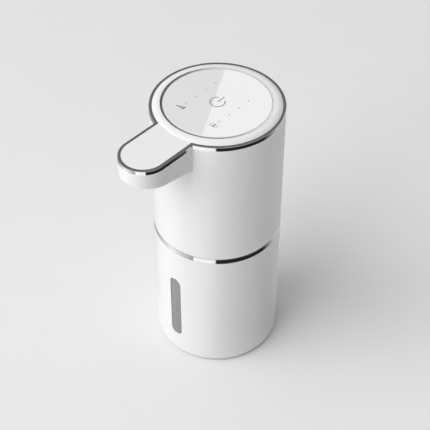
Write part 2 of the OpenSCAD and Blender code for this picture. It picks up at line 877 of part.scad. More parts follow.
module pump_body() {
    outlet_y = pump_y - pocket_s;
    front_y = pump_y - pump_hy;
    color("gainsboro") difference() {
        union() {
            translate([0, 0, pump_z]) pump_block(pump_top_z - pump_z);
            translate([0, intake_y, deck_z - spigot_l]) cylinder(r = spigot_r, h = spigot_l + deck_t + cut);
            translate([0, front_y + cut, barb_z]) rotate([90, 0, 0]) cylinder(r = barb_r, h = barb_l + cut);
        }
        translate([0, pump_y, chamber_z]) for (x = [-1, 1])
            translate([x * axle_x, 0, 0]) cylinder(r = chamber_r, h = chamber_h + cut);
        for (y = [intake_y, outlet_y])
            translate([0, y, chamber_z]) cylinder(r = pocket_r, h = chamber_h + cut);
        translate([0, intake_y, deck_z - spigot_l - cut])
            cylinder(r = spigot_bore_r, h = chamber_z - deck_z + spigot_l + 2 * cut);
        translate([0, outlet_y, barb_z]) rotate([90, 0, 0])
            cylinder(r = port_bore_r, h = outlet_y - front_y + barb_l + cut);
        at_motor() translate([0, 0, chamber_z - shaft_sunk])
            cylinder(r = shaft_r + run_gap, h = shaft_sunk + cut);
        translate([-axle_x, pump_y, chamber_z - shaft_sunk])
            cylinder(r = shaft_r + press_gap, h = shaft_sunk + cut);
        translate([0, 0, pump_z - cut]) at_pump_screws()
            cylinder(r = screw_hole_r, h = pump_top_z - pump_z + 2 * cut);
    }
}

module pump_cover() {
    color("gainsboro") difference() {
        translate([0, 0, pump_top_z]) {
            pump_block(pump_cover_t);
            at_motor() cylinder(r = motor_r, h = pump_cover_t);
        }
        at_motor() translate([0, 0, pump_top_z - cut])
            cylinder(r = nose_r + fit_gap, h = pump_cover_t + 2 * cut);
        translate([0, 0, pump_top_z - cut]) {
            at_pump_screws()
                cylinder(r = screw_hole_r, h = deck_z + pump_screw_l + fit_gap - pump_top_z + cut);
            at_motor_screws() {
                cylinder(r = screw_hole_r, h = pump_cover_t + 2 * cut);
                cylinder(r = screw_head_r + fit_gap, h = screw_head_h + cut);
            }
        }
    }
}

module pump_screws() {
    color("silver") translate([0, 0, deck_z]) at_pump_screws() screw(pump_screw_l);
}

module shaft_seal() {
    color("black") at_motor() translate([0, 0, pump_top_z])
        tube(nose_r, shaft_r + run_gap, pump_cover_t - nose_h - fit_gap);
}

// Motor

module motor_can() {
    color("silver") at_motor() translate([0, 0, motor_z]) difference() {
        union() {
            cylinder(r = motor_r, h = motor_l);
            translate([0, 0, -nose_h]) cylinder(r = nose_r, h = nose_h + cut);
        }
        translate([0, 0, motor_wall]) cylinder(r = motor_in_r, h = motor_l);
        translate([0, 0, -nose_h - cut]) cylinder(r = shaft_r + run_gap, h = motor_l);
        for (y = [-1, 1]) translate([0, y * motor_screw_y, -cut])
            cylinder(r = screw_hole_r, h = motor_wall + 2 * cut);
    }
}

module motor_magnets() {
    gap_w = 8;
    color("dimgray") at_motor() translate([0, 0, magnet_z]) difference() {
        tube(magnet_r, magnet_r - magnet_t, magnet_h);
        translate([-motor_d, -gap_w / 2, -cut]) cube([2 * motor_d, gap_w, magnet_h + 2 * cut]);
    }
}

module motor_endcap() {
    wall = 1.6;
    color("white") at_motor() translate([0, 0, motor_top_z]) difference() {
        union() {
            cylinder(r = motor_r, h = endcap_t);
            translate([0, 0, -endcap_in]) tube(motor_in_r - run_gap, motor_in_r - wall, endcap_in + cut);
        }
        translate([0, 0, -cut]) cylinder(r = shaft_r + run_gap, h = endcap_t - endcap_face + cut);
    }
}

module at_terminals() {
    at_motor() for (x = [-1, 1]) translate([x * terminal_x, terminal_y, terminal_z]) children();
}

module motor_terminals() {
    w = 2.4;
    t = 0.5;
    color("goldenrod") at_terminals() translate([-w / 2, -t / 2, 0]) cube([w, t, terminal_h]);
}

module motor_screws() {
    color("silver") translate([0, 0, pump_top_z + screw_head_h]) at_motor_screws() screw(motor_screw_l);
}

module motor_leads() {
    color("firebrick") at_terminals() translate([0, 0, terminal_h])
        cylinder(r = lead_r, h = connector_z - terminal_z - terminal_h);
}

module motor_shaft() {
    foot_z = chamber_z - shaft_sunk + gear_end_gap;
    head_z = motor_top_z + endcap_t - endcap_face - shaft_end_gap;
    color("silver") at_motor() translate([0, 0, foot_z])
        cylinder(r = shaft_r, h = head_z - foot_z);
}

module motor_armature() {
    core_inset = 1;
    core_z = magnet_z + core_inset;
    core_h = magnet_h - 2 * core_inset;
    slot_in = 4.3;
    coil_lap = 1;
    coil_h = 2.5;
    commutator_r = 3;
    commutator_h = 6;
    slot_w = 1.6;
    color("peru") at_motor() difference() {
        translate([0, 0, core_z]) {
            difference() {
                cylinder(r = armature_r, h = core_h);
                for (turn = [0, 120, 240]) rotate(turn)
                    translate([slot_in, -slot_w / 2, -cut]) cube([armature_r, slot_w, core_h + 2 * cut]);
            }
            translate([0, 0, -coil_h]) cylinder(r = slot_in + coil_lap, h = core_h + 2 * coil_h);
            cylinder(r = commutator_r, h = core_h + coil_h + commutator_h);
        }
        translate([0, 0, motor_z]) cylinder(r = shaft_r + press_gap, h = motor_l);
    }
}

// Soap path

module intake_tube() {
    color("whitesmoke") translate([0, intake_y, tube_end_z])
        tube(intake_od / 2, intake_id / 2, deck_z - tube_top_gap - tube_end_z);
}

module intake_filter() {
    floor_t = 1;
    seat_lip = 0.4;
    slots = 8;
    slot_w = 1.2;
    color("lightgray") translate([0, intake_y, filter_z]) difference() {
        cylinder(r = filter_r, h = tube_end_z + filter_lap - filter_z);
        translate([0, 0, tube_end_z - filter_z])
            cylinder(r = intake_od / 2 + press_gap, h = filter_lap + cut);
        translate([0, 0, floor_t]) cylinder(r = intake_od / 2 - seat_lip, h = filter_lap);
        for (i = [0 : slots - 1]) rotate(i * 360 / slots) translate([0, -slot_w / 2, floor_t])
            cube([filter_r + cut, slot_w, tube_end_z - filter_z - 2 * floor_t]);
    }
}

module hose_section() {
    difference() {
        circle(hose_r);
        circle(hose_id / 2);
    }
}

module hose_elbow() {
    rotate([90, 0, 90]) rotate_extrude(angle = 90) translate([hose_bend, 0]) hose_section();
}

module outlet_hose() {
    low_y = hose_rise_y + hose_bend;
    low_z = barb_z + hose_bend;
    high_y = hose_rise_y - hose_bend;
    high_z = hose_z - hose_bend;
    color("gainsboro") {
        translate([0, hose_start_y, barb_z]) forward(hose_start_y - low_y) hose_section();
        translate([0, low_y, low_z]) rotate([180, 0, 0]) hose_elbow();
        translate([0, hose_rise_y, low_z]) linear_extrude(high_z - low_z) hose_section();
        translate([0, high_y, high_z]) hose_elbow();
        translate([0, high_y, hose_z]) forward(high_y - hose_end_y) hose_section();
    }
}

module nozzle_body() {
    bore_r = 1;
    color("white") at_nozzle() difference() {
        union() {
            translate([0, 0, nozzle_tip_z]) cylinder(r = nozzle_r, h = nozzle_top_z - nozzle_tip_z);
            translate([0, 0, nozzle_seat_z]) cylinder(r = nozzle_seat_r, h = nozzle_flange_t);
            translate([0, 0, hose_z]) rotate([-90, 0, 0]) cylinder(r = barb_r, h = nozzle_r + barb_l);
        }
        translate([0, 0, nozzle_tip_z - cut]) {
            cylinder(r = bore_r, h = hose_z - nozzle_tip_z + cut);
            cylinder(r = valve_r, h = valve_top_z - nozzle_tip_z + cut);
        }
        translate([0, 0, hose_z]) rotate([-90, 0, 0]) cylinder(r = bore_r, h = nozzle_r + barb_l + cut);
    }
}

module nozzle_valve() {
    flange_t = 1.2;
    bill_gap = 0.8;
    bill_set = 0.4;
    bill_tip_t = 0.8;
    bore_tip_r = 0.4;
    bore_r = 1.2;
    slit_w = 0.2;
    slit_h = 1;
    bill_r = valve_r - bill_gap;
    bill_h = valve_top_z - flange_t - nozzle_tip_z - bill_set;
    color("lightgray") at_nozzle() translate([0, 0, valve_top_z - flange_t]) difference() {
        union() {
            cylinder(r = valve_r - fit_gap, h = flange_t);
            translate([0, 0, -bill_h]) cylinder(r1 = bill_r / 2, r2 = bill_r, h = bill_h + flange_t / 2);
        }
        translate([0, 0, bill_tip_t - bill_h])
            cylinder(r1 = bore_tip_r, r2 = bore_r, h = bill_h + flange_t);
        translate([-bill_r, -slit_w / 2, -bill_h - cut]) cube([2 * bill_r, slit_w, cut + slit_h]);
    }
}

// Sensor

module sensor_lens() {
    color("black") on_spout_floor() {
        translate([0, 0, fit_gap]) linear_extrude(spout_floor)
            square([sensor_w - 2 * fit_gap, sensor_l - 2 * fit_gap], center = true);
        translate([0, 0, spout_floor]) linear_extrude(lens_flange_t)
            square([sensor_w + lens_lap, sensor_l + lens_lap], center = true);
    }
}

module sensor_board() {
    color("darkgreen") on_spout_floor() translate([0, 0, sensor_under]) linear_extrude(sensor_board_t)
        difference() {
            square([sensor_board_w, sensor_board_l], center = true);
            for (x = [-1, 1]) translate([x * stake_x, 0]) circle(stake_pin_r + fit_gap);
        }
}

module sensor_diodes() {
    w = 3;
    color("darkslateblue") on_spout_floor() for (x = [-1, 1])
        translate([x * sensor_w / 4 - w / 2, -w / 2, sensor_under - diode_h + fit_gap])
            cube([w, w, diode_h - fit_gap]);
}

module sensor_ribbon() {
    near_s = sensor_s - sensor_board_l / 2;
    far_s = sensor_s;
    seat = sensor_over + press_gap;
    low = [
        [far_s, on_floor_z(far_s, seat)], [near_s, on_floor_z(near_s, seat)], [ribbon_end_s, ribbon_end_z]
    ];
    high = [for (i = [len(low) - 1 : -1 : 0]) low[i] + [0, ribbon_t]];
    color("tan") translate([ribbon_x + ribbon_w / 2, 0, 0]) across(ribbon_w) polygon(concat(low, high));
}

// Battery

module battery_cell() {
    button_r = 4;
    button_h = 1;
    groove_h = 1;
    groove_drop = 4;
    groove_depth = 0.4;
    color("steelblue") at_cell() translate([0, 0, cell_z]) difference() {
        union() {
            cylinder(r = cell_r, h = cell_l - button_h);
            cylinder(r = button_r, h = cell_l);
        }
        translate([0, 0, cell_l - groove_drop]) tube(cell_r + cut, cell_r - groove_depth, groove_h);
    }
}

module battery_tabs() {
    top_l = 8;
    low_in = 4.5;
    low_l = low_in + lead_x + 2 * lead_r;
    color("silver") at_cell() {
        translate([-low_in, -tab_w / 2, cell_z - tab_t]) cube([low_l, tab_w, tab_t]);
        translate([-top_l / 2, -tab_w / 2, cell_top_z]) cube([top_l, tab_w, tab_t]);
    }
}

module battery_cradle() {
    grip = 1.5;
    mouth_x = 2.3;
    mouth = cell_d - 2 * grip;
    color("slategray") at_cell() translate([0, 0, deck_top_z]) difference() {
        cylinder(r = cradle_r, h = cradle_h);
        translate([0, 0, cradle_floor]) cylinder(r = cell_r + cradle_gap, h = cradle_h);
        translate([mouth_x, -mouth / 2, cradle_floor]) cube([cell_d, mouth, cradle_h]);
        translate([0, 0, -cut]) for (y = [-1, 1]) translate([0, y * cradle_screw_y, 0])
            cylinder(r = screw_hole_r, h = cradle_screw_l - deck_t + fit_gap + cut);
    }
}

module cradle_screws() {
    color("silver") translate([0, 0, deck_z]) at_cradle_screws() screw(cradle_screw_l);
}

module battery_leads() {
    color("firebrick") at_cell() {
        translate([lead_x, 0, cell_z]) cylinder(r = lead_r, h = connector_z - cell_z);
        translate([0, 0, cell_top_z + tab_t]) cylinder(r = lead_r, h = connector_z - cell_top_z - tab_t);
    }
}

// Control board

module control_board() {
    color("darkgreen") translate([0, 0, board_z]) difference() {
        cylinder(r = board_r, h = board_t);
        translate([-body_r, -body_d - board_front, -cut]) cube([body_d, body_d, board_t + 2 * cut]);
        translate([0, 0, -cut]) at_board_screws() cylinder(r = screw_hole_r, h = board_t + 2 * cut);
    }
}

module board_screws() {
    color("silver") translate([0, 0, board_z]) at_board_screws() screw(board_t + board_screw_bite);
}

// A chip of a given size, centred at a place on the board
module chip(place, size) {
    translate([place.x - size.x / 2, place.y - size.y / 2, board_top_z]) cube(size);
}

module board_chips() {
    controller = [5, 5, 1];
    motor_driver = [4, 5, 1];
    touch_sensor = [6, 4, 1.4];
    resistor = [1.2, 2, 0.8];
    row_x = 6;
    row_pitch = 3;
    row_places = [-2, -1, 2, 3];
    chip_set = 8;
    side_x = lamp_x + chip_set;
    color("black") {
        chip([0, lamp_x], controller);
        chip([side_x, 0], motor_driver);
        chip([-side_x, 0], touch_sensor);
        for (x = [-row_x, row_x], i = row_places) chip([x, i * row_pitch], resistor);
    }
}

module plug_block(x, y, w, l) {
    translate([x - w / 2, y - l / 2, connector_z]) cube([w, l, connector_h]);
}

module board_connectors() {
    plug_l = 5;
    margin = 2;
    rim = 1;
    color("ivory") {
        plug_block(cell_x + lead_x / 2, cell_y, lead_x + 2 * margin, plug_l);
        plug_block(axle_x, pump_y + terminal_y, 2 * (terminal_x + margin), plug_l);
        plug_block(0, charge_lead_y, 2 * (charge_lead_x + margin), plug_l);
        translate([ribbon_x - rim, -board_front, board_top_z]) difference() {
            cube([ribbon_w + 2 * rim, ribbon_conn_l, ribbon_conn_h]);
            translate([rim - fit_gap, -cut, ribbon_conn_h / 2 - fit_gap])
                cube([ribbon_w + 2 * fit_gap, cut + ribbon_conn_l / 2, ribbon_t + 2 * fit_gap]);
        }
    }
}

module status_lamps() {
    w = 2;
    l = 1.25;
    color("white") at_lamps() translate([-w / 2, -l / 2, board_top_z]) cube([w, l, lamp_h]);
}

module light_guides() {
    bar_l = (len(lamp_ys) - 1) * lamp_pitch + guide_w;
    peg_r = 0.9;
    color("lightcyan") {
        at_lamps() translate([0, 0, pipe_z]) cylinder(r = pipe_r, h = pipe_top_z - pipe_z);
        for (x = [-1, 1]) translate([x * lamp_x, 0, 0]) {
            translate([-guide_w / 2, -bar_l / 2, guide_z]) cube([guide_w, bar_l, guide_t]);
            for (y = [-1, 1]) translate([0, y * lamp_pitch, board_top_z])
                cylinder(r = peg_r, h = guide_z + guide_t / 2 - board_top_z);
        }
    }
}

module switch_base() {
    color("dimgray") translate([-switch_w / 2, -switch_w / 2, board_top_z]) difference() {
        cube([switch_w, switch_w, switch_h]);
        translate([switch_w / 2, switch_w / 2, switch_h - plunger_in - 2 * panel_travel])
            cylinder(r = plunger_r + fit_gap, h = switch_h);
    }
}

module switch_plunger() {
    color("black") translate([0, 0, switch_top_z - plunger_in])
        cylinder(r = plunger_r, h = plunger_in + plunger_out);
}

// Charging socket and its cover

module charging_board() {
    color("darkgreen") translate([-charger_w / 2, charger_front_y, charger_z]) difference() {
        cube([charger_w, charger_back_y - charger_front_y, charger_t]);
        for (x = [-1, 1])
            translate([charger_w / 2 + x * charger_screw_x, charger_screw_y - charger_front_y, -cut])
                cylinder(r = screw_hole_r, h = charger_t + 2 * cut);
    }
}

module charger_screws() {
    color("silver") translate([0, 0, charger_top_z]) at_charger_screws() rotate([180, 0, 0])
        screw(charger_t + charger_screw_l - charger_screw_gap);
}

module charge_leads() {
    color("firebrick") for (x = [-1, 1]) translate([x * charge_lead_x, charge_lead_y, charger_top_z])
        cylinder(r = lead_r, h = connector_z - charger_top_z);
}

module charging_socket() {
    color("silver") translate([0, usb_back_y, port_z]) difference() {
        backward(usb_l) rotate(90) slot(usb_h, usb_w);
        translate([0, usb_back_t, 0]) backward(usb_l) rotate(90)
            slot(usb_h - 2 * usb_wall, usb_w - 2 * usb_wall);
    }
}

module socket_tongue() {
    root_t = 1.5;
    tongue_l = usb_l - usb_back_t - tongue_set;
    color("black") translate([0, usb_back_y + usb_back_t, port_z]) {
        backward(root_t) rotate(90)
            slot(usb_h - 2 * usb_wall - 2 * fit_gap, usb_w - 2 * usb_wall - 2 * fit_gap);
        translate([-tongue_w / 2, 0, -tongue_t / 2]) cube([tongue_w, tongue_l, tongue_t]);
    }
}

module port_tab() {
    tab_z = hinge_z - tab_slot_h + fit_gap;
    tab_y = body_r - tab_slot_t;
    color("gainsboro") {
        intersection() {
            translate([fit_gap - tab_slot_w / 2, tab_y, tab_z])
                cube([tab_slot_w - 2 * fit_gap, tab_slot_t, hinge_z - hinge_gap - tab_z]);
            cylinder(r = body_r, h = top_z, $fn = fine_fn);
        }
        translate([0, tab_y - tab_peg_l + fit_gap, hinge_z - tab_slot_h / 2]) rotate([-90, 0, 0])
            cylinder(r = tab_peg_r, h = tab_peg_l);
    }
}

module port_cover() {
    flap_y = port_floor_y + fit_gap;
    color("gainsboro") {
        intersection() {
            translate([0, flap_y, port_z]) backward(port_depth)
                rotate(90) slot(port_h - 2 * cover_gap, port_w - 2 * cover_gap);
            cylinder(r = body_r, h = top_z, $fn = fine_fn);
        }
        translate([0, port_floor_y - plug_in, port_z]) backward(plug_in + 2 * fit_gap)
            rotate(90) slot(plug_h, plug_w);
    }
}

// Touch panel

module panel_rim() {
    rim_h = panel_z + panel_t - rim_set - ledge_z;
    color("silver") translate([0, 0, ledge_z]) rotate_extrude()
        translate([(rim_r + rim_in_r) / 2, rim_h / 2])
            round_rect(rim_r - rim_in_r, rim_h, rim_edge);
}

module panel_gasket() {
    color("lightgray") translate([0, 0, ledge_z])
        tube(panel_r - gasket_edge, ledge_r + gasket_edge, gasket_t);
}

module panel_carrier() {
    nub_z = plunger_top_z;
    color("white") difference() {
        union() {
            translate([0, 0, carrier_z]) cylinder(r = carrier_r, h = carrier_t);
            translate([0, 0, nub_z]) cylinder(r = nub_r, h = carrier_z + cut - nub_z);
            intersection() {
                translate([0, 0, hook_z]) {
                    tube(carrier_r, carrier_r - hook_t, carrier_z + cut - hook_z);
                    tube(ledge_r + hook_reach, carrier_r - hook_t / 2, hook_t);
                }
                for (a = hook_angles) rotate(a) translate([0, -hook_w / 2, 0]) cube([body_r, hook_w, top_z]);
            }
        }
        translate([0, 0, carrier_z - cut]) at_lamps() cylinder(r = pipe_hole_r, h = carrier_t + 2 * cut);
    }
}

module touch_panel() {
    edge = 0.3;
    color("white") translate([0, 0, panel_z]) rotate_extrude() difference() {
        square([panel_r, panel_t]);
        translate([panel_r - edge, panel_t]) mirror([0, 1]) corner_waste(edge);
    }
}

tank_sleeve();
tank_bottle();
window_lens();
base_pad();
neck_seal();
upper_shell();
mid_band();
top_trim();
top_cover();
drive_deck();
deck_screws();
pump_body();
pump_cover();
pump_screws();
shaft_seal();
idler_pin();
pump_drive_gear();
pump_idler_gear();
motor_can();
motor_magnets();
motor_endcap();
motor_terminals();
motor_screws();
motor_leads();
motor_shaft();
motor_armature();
intake_tube();
intake_filter();
outlet_hose();
nozzle_body();
nozzle_valve();
sensor_lens();
sensor_board();
sensor_diodes();
sensor_ribbon();
battery_cell();
battery_tabs();
battery_cradle();
cradle_screws();
battery_leads();
control_board();
board_screws();
board_chips();
board_connectors();
status_lamps();
light_guides();
switch_base();
switch_plunger();
charging_board();
charger_screws();
charge_leads();
charging_socket();
socket_tongue();
port_tab();
port_cover();
panel_rim();
panel_gasket();
panel_carrier();
touch_panel();
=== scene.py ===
import math
import bmesh
import bpy
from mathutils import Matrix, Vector


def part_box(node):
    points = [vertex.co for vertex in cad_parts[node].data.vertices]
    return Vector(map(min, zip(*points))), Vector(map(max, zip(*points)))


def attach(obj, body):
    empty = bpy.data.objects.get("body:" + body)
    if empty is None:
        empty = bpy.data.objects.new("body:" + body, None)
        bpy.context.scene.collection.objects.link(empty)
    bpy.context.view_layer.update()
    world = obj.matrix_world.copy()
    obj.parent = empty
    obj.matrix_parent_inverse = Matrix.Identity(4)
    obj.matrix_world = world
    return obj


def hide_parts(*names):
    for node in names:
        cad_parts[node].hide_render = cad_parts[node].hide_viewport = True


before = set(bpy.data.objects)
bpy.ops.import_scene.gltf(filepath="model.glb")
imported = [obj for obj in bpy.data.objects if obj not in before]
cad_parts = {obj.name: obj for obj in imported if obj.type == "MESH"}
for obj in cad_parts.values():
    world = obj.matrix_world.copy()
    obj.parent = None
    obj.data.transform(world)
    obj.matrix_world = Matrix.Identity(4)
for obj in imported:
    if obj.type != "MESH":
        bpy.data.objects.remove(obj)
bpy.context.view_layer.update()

MM = 0.001


# Colours
def opaque(red, green, blue):
    return red, green, blue, 1.0


def grey(value):
    return opaque(value, value, value)


# Camera of the photograph
CAMERA_AT = (0.3261, -0.3644, 0.5581)
CAMERA_LOOK = (-0.48335, 0.53712, -0.69151)
CAMERA_AZIMUTH = -48.2
LENS_MM = 95.43
SENSOR_MM = 36.0

# Key lamp: degrees to the camera's left and above the horizon, metres, watts, and the height that it aims at
KEY_LEFT = 60.0
KEY_HEIGHT = 43.0
KEY_REACH = 4.0
KEY_WIDTH = 4.2
KEY_POWER = 177.0
KEY_AIM = 0.09

# Room that glossy surfaces mirror: pale near the horizon, dark overhead, lighter on the camera's side
ROOM_PALE = grey(0.70)
ROOM_DARK = grey(0.165)
ROOM_FRONT = grey(0.44)
ROOM_RISE = (math.sin(math.radians(5.0)), math.sin(math.radians(30.0)))
FRONT_FADE = (-0.3, 0.6)
# Plain backdrop above the floor, and fill light from behind the object
BACKDROP = grey(0.72)
FILL_BACK = grey(0.65)
FILL_FRONT = grey(0.16)

# Floor and the ring of cards that lies on it, which only glossy surfaces mirror
FLOOR_HALF = 40.0
FLOOR_COLOUR = (0.80, 0.80, 0.805)
CARDS_LIFT = 0.0006
CARDS_NEAR = 0.045
CARDS_FAR = 0.450
CARDS_TURNS = 96
# Each card's edge as an angle to the camera's right, with its brightness there
CARDS = (
    (-180.0, 0.10), (-120.0, 0.44), (-75.0, 1.08), (-37.5, 0.42), (-36.5, 1.20), (-3.0, 1.08), (-2.0, 0.02),
    (79.0, 0.02), (110.0, 0.58),
)

# Overhead cards for the panel's split sheen and for the bright rim
CARD_Z = 0.775
# Each edge runs from its second point to its first, with the card on the right of it
SHEEN_EDGE = ((-0.5516, 0.6315), (-0.4734, 0.4946))
SHEEN_OVERRUN = 0.25
SHEEN_WIDTH = 0.42
SHEEN_GLOW = 1.25
RIM_EDGE = ((0.307, -0.128), (-2.232, 2.028))
RIM_OVERRUN = 0.0
RIM_CARD_WIDTH = 1.3
RIM_GLOW = 1.92
# Rays that the cards are hidden from, so that only glossy surfaces show them
ALL_BUT_GLOSSY = ("camera", "diffuse", "transmission", "volume_scatter")

# Printed signs on the panel, in millimetres from its centre, and the power sign's gap in degrees
PANEL_TOP = 175.0
INK_LIFT = 0.03
INK_MIDDLE = PANEL_TOP + INK_LIFT / 2
LINE_W = 0.6
DOT_D = 0.9
DOT_SIDES = 20
DOT_SPAN = 24.0
DOT_ROWS = 4
DOT_COLUMNS = 2
POWER_R = 4.1
POWER_GAP = 32.0
POWER_STEPS = 48
POWER_BAR = 5.7
LEVEL_AT = (-12.0, -16.3)
LEVEL_DROP = 1.0
LEVEL_COUNT = 4
LEVEL_PITCH = 1.42
LEVEL_BAR_W = 0.74
LEVEL_FIRST = 0.95
LEVEL_STEP = 0.45
CELL_AT = (12.0, -16.2)
CELL_SIGN_W = 4.5
CELL_SIGN_H = 2.4
CELL_SIGN_GAP = 0.75
CELL_LINE_W = 0.28
BOLT_W = 1.0
BOLT_LEAN = 0.35
BOLT_NOTCH = 0.1
SIGN_STEPS = 12

# Bright rim that slopes from the raised ring down to the panel, in millimetres
RIM_W = 1.31
RIM_RISE = 0.24
RIM_DROP = 0.31

# Grip pad under the tank, in millimetres
PAD_R = 32.0
PAD_TOP = 1.6
PAD_EDGE = 0.4
GROOVE_RADII = (8.0, 13.0, 18.0, 23.0, 28.0)
GROOVE_W = 1.6
GROOVE_TAPER = 0.7
GROOVE_DEPTH = 0.7

# Turned pieces: steps round, widest gap in millimetres that closes, and angle in degrees of a sharp edge
TURNS = 192
MERGE_GAP = 0.001
SHARP_ANGLE = 10.0

# Bare ends of the wrapped cell, in millimetres
CELL_CROWN = 1.6
CELL_HEEL = 0.4

# Middle of a noise, and the stretches of it that are spread over a full range
NOISE_MIDDLE = 0.5
NOISE_SPAN = (0.3, 0.7)
SHRINK_SPAN = (0.2, 0.8)
SMEAR_SPAN = (0.48, 0.78)
FULL_SPAN = (0.0, 1.0)

# Levels above which a board and a ribbon carry tracks
BOARD_TRACKS = 0.45
RIBBON_TRACKS = 0.5

# Sockets of a mix node's colours and of a range node
MIX_INPUTS = (0, 6, 7)
MIX_RESULT = 2
RAMP_INPUTS = ("Value", "From Min", "From Max", "To Min", "To Max")


# Node helpers
def feed(tree, socket, value):
    if isinstance(value, bpy.types.NodeSocket):
        tree.links.new(value, socket)
    else:
        socket.default_value = value


def feed_all(tree, sockets, values):
    for name, value in values.items():
        feed(tree, sockets[name], value)


def put(tree, kind, inputs=None, **settings):
    made = tree.nodes.new(kind)
    for name, value in settings.items():
        setattr(made, name, value)
    feed_all(tree, made.inputs, inputs or {})
    return made


def math_node(tree, operation, *values):
    return put(tree, "ShaderNodeMath", dict(enumerate(values)), operation=operation).outputs[0]


def mix_colours(tree, factor, first, second, blend="MIX"):
    inputs = dict(zip(MIX_INPUTS, (factor, first, second)))
    return put(tree, "ShaderNodeMix", inputs, data_type="RGBA", blend_type=blend).outputs[MIX_RESULT]


def object_coords(tree):
    return put(tree, "ShaderNodeTexCoord").outputs["Object"]


def stretched(tree, coords, z_scale):
    return put(tree, "ShaderNodeMapping", {"Vector": coords, "Scale": (1.0, 1.0, z_scale)}).outputs["Vector"]


def apart(tree, vector):
    return put(tree, "ShaderNodeSeparateXYZ", {0: vector}).outputs


def combined(tree, **parts):
    return put(tree, "ShaderNodeCombineXYZ", parts).outputs[0]


def noise(tree, coords, scale, detail=2.0, distortion=0.0):
    inputs = {"Vector": coords, "Scale": scale, "Detail": detail, "Distortion": distortion}
    return put(tree, "ShaderNodeTexNoise", inputs).outputs[0]


def ramp(tree, value, span, result=FULL_SPAN):
    inputs = dict(zip(RAMP_INPUTS, (value, *span, *result)))
    return put(tree, "ShaderNodeMapRange", inputs).outputs["Result"]


def varied(tree, value, spread, middle):
    return math_node(tree, "MULTIPLY_ADD", math_node(tree, "SUBTRACT", value, NOISE_MIDDLE), spread, middle)


def bumped(tree, height, strength, depth_mm):
    inputs = {"Strength": strength, "Distance": depth_mm * MM, "Height": height}
    return put(tree, "ShaderNodeBump", inputs).outputs[0]


def shader_group(name, inputs, outputs):
    group = bpy.data.node_groups.new(name, "ShaderNodeTree")
    for label, value in inputs:
        kind = "NodeSocketColor" if isinstance(value, tuple) else "NodeSocketFloat"
        group.interface.new_socket(label, in_out="INPUT", socket_type=kind).default_value = value
    for label, kind in outputs:
        group.interface.new_socket(label, in_out="OUTPUT", socket_type=kind)
    return group, put(group, "NodeGroupInput").outputs, put(group, "NodeGroupOutput").inputs


def add(name, data):
    made = bpy.data.objects.new(name, data)
    bpy.context.scene.collection.objects.link(made)
    return made


# Shared surface effects
def build_moulded_grain():
    group, given, result = shader_group(
        "moulded_grain",
        (("Colour", grey(0.8)), ("Shade", 0.03), ("Rough", 0.4), ("Spread", 0.08), ("Grain", 2500.0)),
        (("Colour", "NodeSocketColor"), ("Roughness", "NodeSocketFloat"), ("Height", "NodeSocketFloat")))
    coords = object_coords(group)
    grain = noise(group, coords, given["Grain"], detail=3.0)
    cloud = noise(group, coords, scale=30.0)
    darkest = math_node(group, "SUBTRACT", 1.0, given["Shade"])
    shade = ramp(group, cloud, NOISE_SPAN, (darkest, 1.0))
    feed_all(group, result, {
        "Colour": mix_colours(group, 1.0, given["Colour"], shade, "MULTIPLY"),
        "Roughness": varied(group, grain, given["Spread"], given["Rough"]),
        "Height": grain})
    return group


def build_handling_marks():
    group, given, result = shader_group(
        "handling_marks",
        (("Clean", 0.05), ("Smudged", 0.12), ("Size", 60.0)),
        (("Roughness", "NodeSocketFloat"), ("Mask", "NodeSocketFloat")))
    smears = noise(group, object_coords(group), given["Size"], detail=4.0, distortion=1.2)
    mask = ramp(group, smears, SMEAR_SPAN)
    feed_all(group, result, {
        "Roughness": ramp(group, mask, FULL_SPAN, (given["Clean"], given["Smudged"])),
        "Mask": mask})
    return group


def build_drawn_lines():
    group, given, result = shader_group(
        "drawn_lines",
        (("Rough", 0.3), ("Spread", 0.2), ("Lines", 4000.0)),
        (("Roughness", "NodeSocketFloat"), ("Height", "NodeSocketFloat")))
    lines = noise(group, stretched(group, object_coords(group), z_scale=0.04), given["Lines"])
    feed_all(group, result, {
        "Roughness": varied(group, lines, given["Spread"], given["Rough"]),
        "Height": lines})
    return group


def build_lead_pair():
    group, given, result = shader_group(
        "lead_pair",
        (("Split", 0.0), ("One", opaque(0.5, 0.03, 0.03)), ("Other", grey(0.03))),
        (("Colour", "NodeSocketColor"), ("Height", "NodeSocketFloat")))
    coords = object_coords(group)
    side = math_node(group, "GREATER_THAN", apart(group, coords)["X"], given["Split"])
    plain = mix_colours(group, side, given["One"], given["Other"])
    flow = noise(group, stretched(group, coords, z_scale=0.1), scale=1500.0)
    shade = ramp(group, flow, NOISE_SPAN, (0.85, 1.0))
    feed_all(group, result, {
        "Colour": mix_colours(group, 1.0, plain, shade, "MULTIPLY"),
        "Height": flow})
    return group


MOULDED_GRAIN = build_moulded_grain()
HANDLING_MARKS = build_handling_marks()
DRAWN_LINES = build_drawn_lines()
LEAD_PAIR = build_lead_pair()


# Finishes
def new_finish(name):
    finish = bpy.data.materials.new(name)
    finish.use_nodes = True
    finish.node_tree.nodes.clear()
    return finish, finish.node_tree


def blank_finish(name, **shader_values):
    finish, tree = new_finish(name)
    inputs = {label.replace("_", " "): value for label, value in shader_values.items()}
    shader = put(tree, "ShaderNodeBsdfPrincipled", inputs)
    put(tree, "ShaderNodeOutputMaterial", {"Surface": shader.outputs[0]})
    return finish, tree, shader.inputs


def grouped(tree, group, **values):
    return put(tree, "ShaderNodeGroup", values, node_tree=group).outputs


def moulded(name, colour, rough, spread, shade, grain, bump, **shader_values):
    finish, tree, shader = blank_finish(name, **shader_values)
    skin = grouped(tree, MOULDED_GRAIN, Colour=opaque(*colour), Shade=shade, Rough=rough, Spread=spread,
                   Grain=grain)
    feed_all(tree, shader, {
        "Base Color": skin["Colour"],
        "Roughness": skin["Roughness"],
        "Normal": bumped(tree, skin["Height"], strength=bump, depth_mm=0.03)})
    return finish


